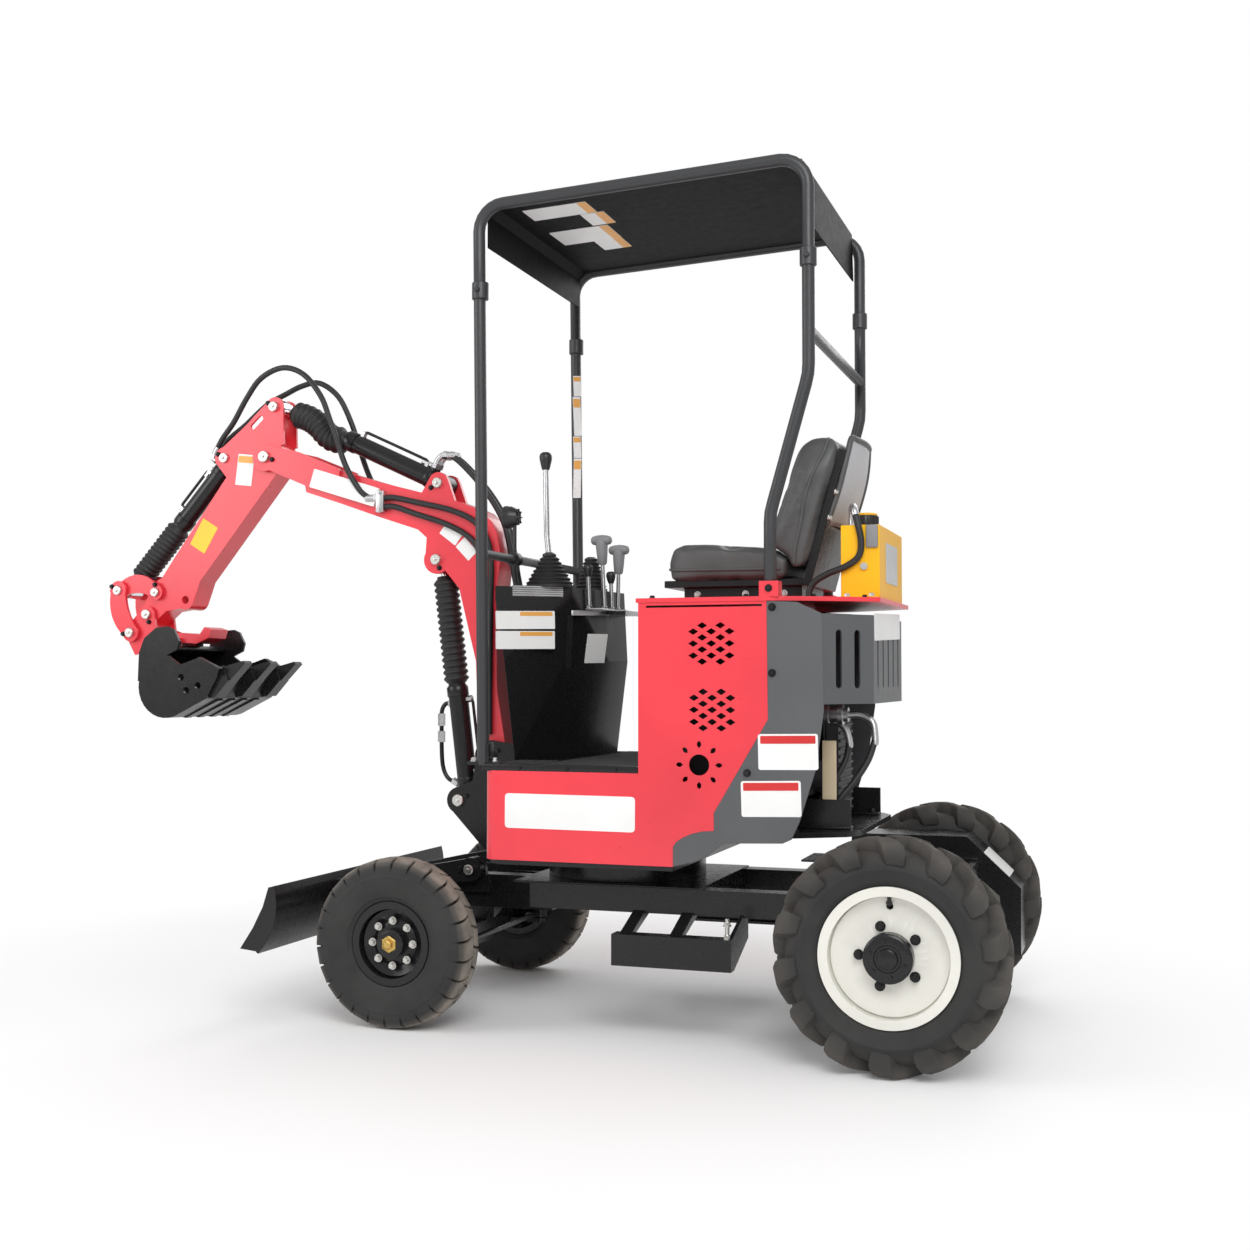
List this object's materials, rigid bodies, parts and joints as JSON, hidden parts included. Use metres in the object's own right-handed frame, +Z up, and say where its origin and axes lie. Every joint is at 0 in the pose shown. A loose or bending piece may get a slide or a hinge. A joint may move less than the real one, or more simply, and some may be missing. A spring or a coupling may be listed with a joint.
{
  "type": "wheeled mini excavator",
  "caption": "Small wheeled excavator with an open canopy, a slewing platform, a seat and console, a backhoe boom, arm and bucket on cylinders, steered front wheels and a dozer blade.",
  "frame": {"origin": "on the ground, at the middle of the box around the whole part at rest", "axes": "+X forward, towards the boom, +Y to the driver's left, +Z up"},
  "size_m": [2.943, 1.188, 2.3588],
  "materials": {
    "red_paint": "gloss",
    "black_paint": "gloss",
    "grey_paint": "satin",
    "steel": "satin",
    "tyre_rubber": "matte",
    "rubber": "matte",
    "cream_paint": "gloss",
    "yellow_plastic": "gloss",
    "vinyl": "satin",
    "iron": "matte"
  },
  "bodies": {
    "chassis": {"chassis_frame": "black_paint", "slew_ring": "steel", "rear_axle": "black_paint", "front_axle": "black_paint", "mudguards": "black_paint"},
    "left_steer": {"left_knuckle": "steel"},
    "right_steer": {"right_knuckle": "steel"},
    "track_rod": {"tie_rod": "steel"},
    "rear_left_wheel": {"rear_left_tyre": "tyre_rubber", "rear_left_rim": "cream_paint"},
    "rear_right_wheel": {"rear_right_tyre": "tyre_rubber", "rear_right_rim": "cream_paint"},
    "front_left_wheel": {"front_left_tyre": "tyre_rubber", "front_left_rim": "black_paint"},
    "front_right_wheel": {"front_right_tyre": "tyre_rubber", "front_right_rim": "black_paint"},
    "blade": {"blade": "black_paint"},
    "blade_cylinder": {"blade_barrel": "black_paint"},
    "blade_piston": {"blade_rod": "steel"},
    "platform": {"platform_frame": "black_paint", "red_panels": "red_paint", "grey_panels": "grey_paint", "seat_deck": "red_paint", "rear_hood": "grey_paint", "floor_plate": "black_paint", "engine": "iron", "console": "black_paint", "levers": "steel", "lever_boots": "rubber", "work_lamp": "black_paint", "seat_pan": "black_paint", "seat_cushion": "vinyl", "seat_back": "vinyl", "tank": "yellow_plastic", "canopy_frame": "grey_paint", "canopy_roof": "black_paint", "tank_hose": "rubber", "engine_hoses": "rubber"},
    "boom": {"boom": "red_paint", "boom_hoses": "rubber", "loop_hoses": "rubber", "knee_hoses": "rubber"},
    "boom_cylinder": {"boom_barrel": "black_paint", "boom_bellows": "rubber"},
    "boom_piston": {"boom_rod": "steel"},
    "arm": {"dipper": "red_paint"},
    "arm_cylinder": {"arm_barrel": "black_paint", "arm_bellows": "rubber"},
    "arm_piston": {"arm_rod": "steel"},
    "bucket": {"bucket": "black_paint", "coupler": "red_paint"},
    "rocker": {"rocker": "red_paint"},
    "link": {"bucket_link": "red_paint"},
    "bucket_cylinder": {"bucket_barrel": "black_paint", "bucket_bellows": "rubber"},
    "bucket_piston": {"bucket_rod": "steel"}
  },
  "joints": [
    {"name": "slew", "type": "hinge", "parent": "chassis", "child": "platform", "pos_m": [-0.3195, 0, 0.455], "axis": [0, 0, 1], "continuous": true},
    {"name": "rear_left_roll", "type": "hinge", "parent": "chassis", "child": "rear_left_wheel", "pos_m": [-1.1795, 0.5265, 0.292], "axis": [0, 1, 0], "continuous": true},
    {"name": "rear_right_roll", "type": "hinge", "parent": "chassis", "child": "rear_right_wheel", "pos_m": [-1.1795, -0.5265, 0.292], "axis": [0, 1, 0], "continuous": true},
    {"name": "steer", "type": "hinge", "parent": "chassis", "child": "left_steer", "pos_m": [0.2085, 0.345, 0.235], "axis": [0, 0, 1], "range_deg": [-24, 24]},
    {"name": "right_steer", "type": "hinge", "parent": "chassis", "child": "right_steer", "pos_m": [0.2085, -0.345, 0.235], "axis": [0, 0, 1], "range_deg": [-24.5, 24.5]},
    {"name": "tie_rod_swing", "type": "hinge", "parent": "left_steer", "child": "track_rod", "pos_m": [0.0985, 0.345, 0.206], "axis": [0, 0, 1], "range_deg": [-24.5, 24.5]},
    {"name": "front_left_roll", "type": "hinge", "parent": "left_steer", "child": "front_left_wheel", "pos_m": [0.2085, 0.45, 0.235], "axis": [0, 1, 0], "continuous": true},
    {"name": "front_right_roll", "type": "hinge", "parent": "right_steer", "child": "front_right_wheel", "pos_m": [0.2085, -0.45, 0.235], "axis": [0, 1, 0], "continuous": true},
    {"name": "blade_lift", "type": "hinge", "parent": "chassis", "child": "blade", "pos_m": [0.1015, 0, 0.41], "axis": [0, -1, 0], "range_deg": [-23, 6]},
    {"name": "blade_cylinder_swing", "type": "hinge", "parent": "chassis", "child": "blade_cylinder", "pos_m": [0.0555, 0, 0.34], "axis": [0, -1, 0], "range_deg": [-21.63, 5.64]},
    {"name": "blade_piston_slide", "type": "slide", "parent": "blade_cylinder", "child": "blade_piston", "axis": [0.9997, 0, -0.0226], "range_m": [-0.03119, 0.00814]},
    {"name": "boom_lift", "type": "hinge", "parent": "platform", "child": "boom", "pos_m": [0.0955, 0, 0.735], "axis": [0, -1, 0], "range_deg": [-70, 5], "deforming": ["knee_hoses"]},
    {"name": "boom_cylinder_swing", "type": "hinge", "parent": "platform", "child": "boom_cylinder", "pos_m": [0.1955, 0, 0.6], "axis": [0, -1, 0], "range_deg": [-65.11, 4.65]},
    {"name": "boom_piston_slide", "type": "slide", "parent": "boom_cylinder", "child": "boom_piston", "axis": [0.1215, 0, 0.9926], "range_m": [-0.1859, 0.01328], "deforming": ["boom_bellows"]},
    {"name": "arm_swing", "type": "hinge", "parent": "boom", "child": "arm", "pos_m": [0.8905, 0, 1.68], "axis": [0, 1, 0], "range_deg": [-40, 50], "deforming": ["loop_hoses"]},
    {"name": "arm_cylinder_swing", "type": "hinge", "parent": "boom", "child": "arm_cylinder", "pos_m": [0.2825, 0, 1.572], "axis": [0, -1, 0], "range_deg": [-4.72, 3.78]},
    {"name": "arm_piston_slide", "type": "slide", "parent": "arm_cylinder", "child": "arm_piston", "axis": [0.9074, 0, 0.4203], "range_m": [-0.10301, 0.12877], "deforming": ["arm_bellows"]},
    {"name": "bucket_curl", "type": "hinge", "parent": "arm", "child": "bucket", "pos_m": [1.3365, 0, 1.18], "axis": [0, -1, 0], "range_deg": [-18, 100]},
    {"name": "rocker_swing", "type": "hinge", "parent": "arm", "child": "rocker", "pos_m": [1.3035, 0, 1.252], "axis": [0, -1, 0], "range_deg": [-12.46, 69.23]},
    {"name": "link_swing", "type": "hinge", "parent": "rocker", "child": "link", "pos_m": [1.4395, 0, 1.26], "axis": [0, -1, 0], "range_deg": [-29.74, 5.35]},
    {"name": "bucket_cylinder_swing", "type": "hinge", "parent": "arm", "child": "bucket_cylinder", "pos_m": [1.0535, 0, 1.686], "axis": [0, -1, 0], "range_deg": [-0.76, 4.23]},
    {"name": "bucket_piston_slide", "type": "slide", "parent": "bucket_cylinder", "child": "bucket_piston", "axis": [0.6715, 0, -0.741], "range_m": [-0.15241, 0.02744], "deforming": ["bucket_bellows"]}
  ],
  "couplings": [
    {"joint": "right_steer", "follows": "steer", "ratio": 1},
    {"joint": "tie_rod_swing", "follows": "steer", "ratio": -1},
    {"joint": "blade_cylinder_swing", "follows": "blade_lift", "ratio": 0.92189},
    {"joint": "blade_piston_slide", "follows": "blade_lift", "m_per_rad": 0.076168},
    {"joint": "boom_cylinder_swing", "follows": "boom_lift", "ratio": 0.91193},
    {"joint": "boom_piston_slide", "follows": "boom_lift", "m_per_rad": 0.14918},
    {"joint": "arm_cylinder_swing", "follows": "arm_swing", "ratio": -0.092515},
    {"joint": "arm_piston_slide", "follows": "arm_swing", "m_per_rad": 0.14466},
    {"joint": "rocker_swing", "follows": "bucket_curl", "ratio": 0.67874},
    {"joint": "link_swing", "follows": "bucket_curl", "ratio": -0.29156},
    {"joint": "bucket_cylinder_swing", "follows": "bucket_curl", "ratio": 0.041456},
    {"joint": "bucket_piston_slide", "follows": "bucket_curl", "m_per_rad": -0.085613}
  ]
}
